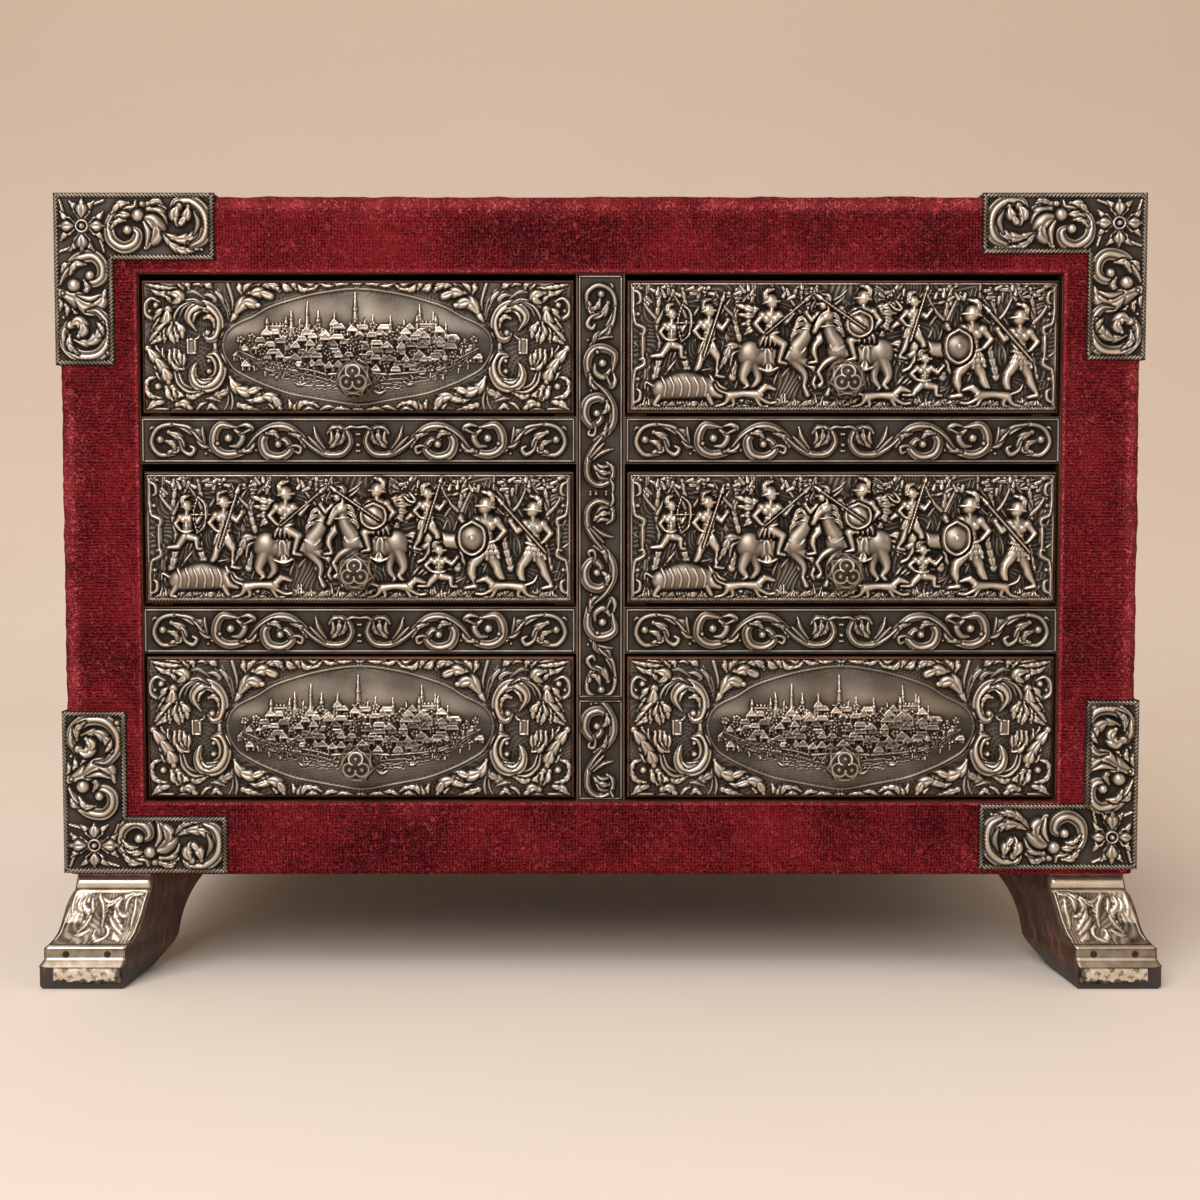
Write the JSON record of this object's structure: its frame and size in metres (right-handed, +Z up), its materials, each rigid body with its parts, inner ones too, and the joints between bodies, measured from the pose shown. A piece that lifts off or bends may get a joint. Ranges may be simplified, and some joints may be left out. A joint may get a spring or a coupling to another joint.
{
  "type": "coin collector's table cabinet",
  "caption": "Velvet-covered table cabinet on splayed feet, with drawers for a coin collection behind embossed silver plaques, ball knobs and corner mounts.",
  "frame": {"origin": "on the floor, in the middle of the overall box in X and Y", "axes": "+X to the right when facing the drawers, +Y from the front to the back (drawers open towards -Y), +Z up"},
  "size_m": [0.3368, 0.2606, 0.2377],
  "materials": {
    "carcase_wood": "old oiled walnut, dark",
    "drawer_wood": "worn walnut",
    "lining_wood": "bare oak, dry",
    "coin_board": "planed limewood, dry",
    "velvet": "worn crimson silk velvet",
    "silver": "embossed silver, oxidised in the ground, bright on the heights",
    "nail_iron": "old iron, dull"
  },
  "bodies": {
    "cabinet": {"top_board": "carcase_wood", "bottom_board": "carcase_wood", "left_side_board": "carcase_wood", "right_side_board": "carcase_wood", "back_board": "carcase_wood", "centre_partition": "carcase_wood", "left_divider_rails": "carcase_wood", "left_dust_boards": "carcase_wood", "left_rail_plates": "silver", "right_divider_rails": "carcase_wood", "right_dust_boards": "carcase_wood", "right_rail_plates": "silver", "upper_stile_plate": "silver", "lower_stile_plate": "silver", "velvet_cover": "velvet", "velvet_back": "velvet", "upper_left_corner_mount": "silver", "upper_right_corner_mount": "silver", "lower_left_corner_mount": "silver", "lower_right_corner_mount": "silver", "mount_pins": "silver", "feet": "carcase_wood", "foot_mounts": "silver", "foot_nails": "nail_iron"},
    "upper_left_drawer": {"upper_left_drawer_front": "drawer_wood", "upper_left_drawer_sides_and_back": "lining_wood", "upper_left_drawer_bottom": "lining_wood", "upper_left_coin_board": "coin_board", "upper_left_plaque": "silver", "upper_left_knob": "silver"},
    "upper_right_drawer": {"upper_right_drawer_front": "drawer_wood", "upper_right_drawer_sides_and_back": "lining_wood", "upper_right_drawer_bottom": "lining_wood", "upper_right_coin_board": "coin_board", "upper_right_plaque": "silver", "upper_right_knob": "silver"},
    "middle_left_drawer": {"middle_left_drawer_front": "drawer_wood", "middle_left_drawer_sides_and_back": "lining_wood", "middle_left_drawer_bottom": "lining_wood", "middle_left_coin_board": "coin_board", "middle_left_plaque": "silver", "middle_left_knob": "silver"},
    "middle_right_drawer": {"middle_right_drawer_front": "drawer_wood", "middle_right_drawer_sides_and_back": "lining_wood", "middle_right_drawer_bottom": "lining_wood", "middle_right_coin_board": "coin_board", "middle_right_plaque": "silver", "middle_right_knob": "silver"},
    "lower_left_drawer": {"lower_left_drawer_front": "drawer_wood", "lower_left_drawer_sides_and_back": "lining_wood", "lower_left_drawer_bottom": "lining_wood", "lower_left_coin_board": "coin_board", "lower_left_plaque": "silver", "lower_left_knob": "silver"},
    "lower_right_drawer": {"lower_right_drawer_front": "drawer_wood", "lower_right_drawer_sides_and_back": "lining_wood", "lower_right_drawer_bottom": "lining_wood", "lower_right_coin_board": "coin_board", "lower_right_plaque": "silver", "lower_right_knob": "silver"}
  },
  "joints": [
    {"name": "upper_left_drawer_slide", "type": "slide", "parent": "cabinet", "child": "upper_left_drawer", "axis": [0, -1, 0], "range_m": [0, 0.175]},
    {"name": "upper_right_drawer_slide", "type": "slide", "parent": "cabinet", "child": "upper_right_drawer", "axis": [0, -1, 0], "range_m": [0, 0.175]},
    {"name": "middle_left_drawer_slide", "type": "slide", "parent": "cabinet", "child": "middle_left_drawer", "axis": [0, -1, 0], "range_m": [0, 0.175]},
    {"name": "middle_right_drawer_slide", "type": "slide", "parent": "cabinet", "child": "middle_right_drawer", "axis": [0, -1, 0], "range_m": [0, 0.175]},
    {"name": "lower_left_drawer_slide", "type": "slide", "parent": "cabinet", "child": "lower_left_drawer", "axis": [0, -1, 0], "range_m": [0, 0.175]},
    {"name": "lower_right_drawer_slide", "type": "slide", "parent": "cabinet", "child": "lower_right_drawer", "axis": [0, -1, 0], "range_m": [0, 0.175]}
  ]
}
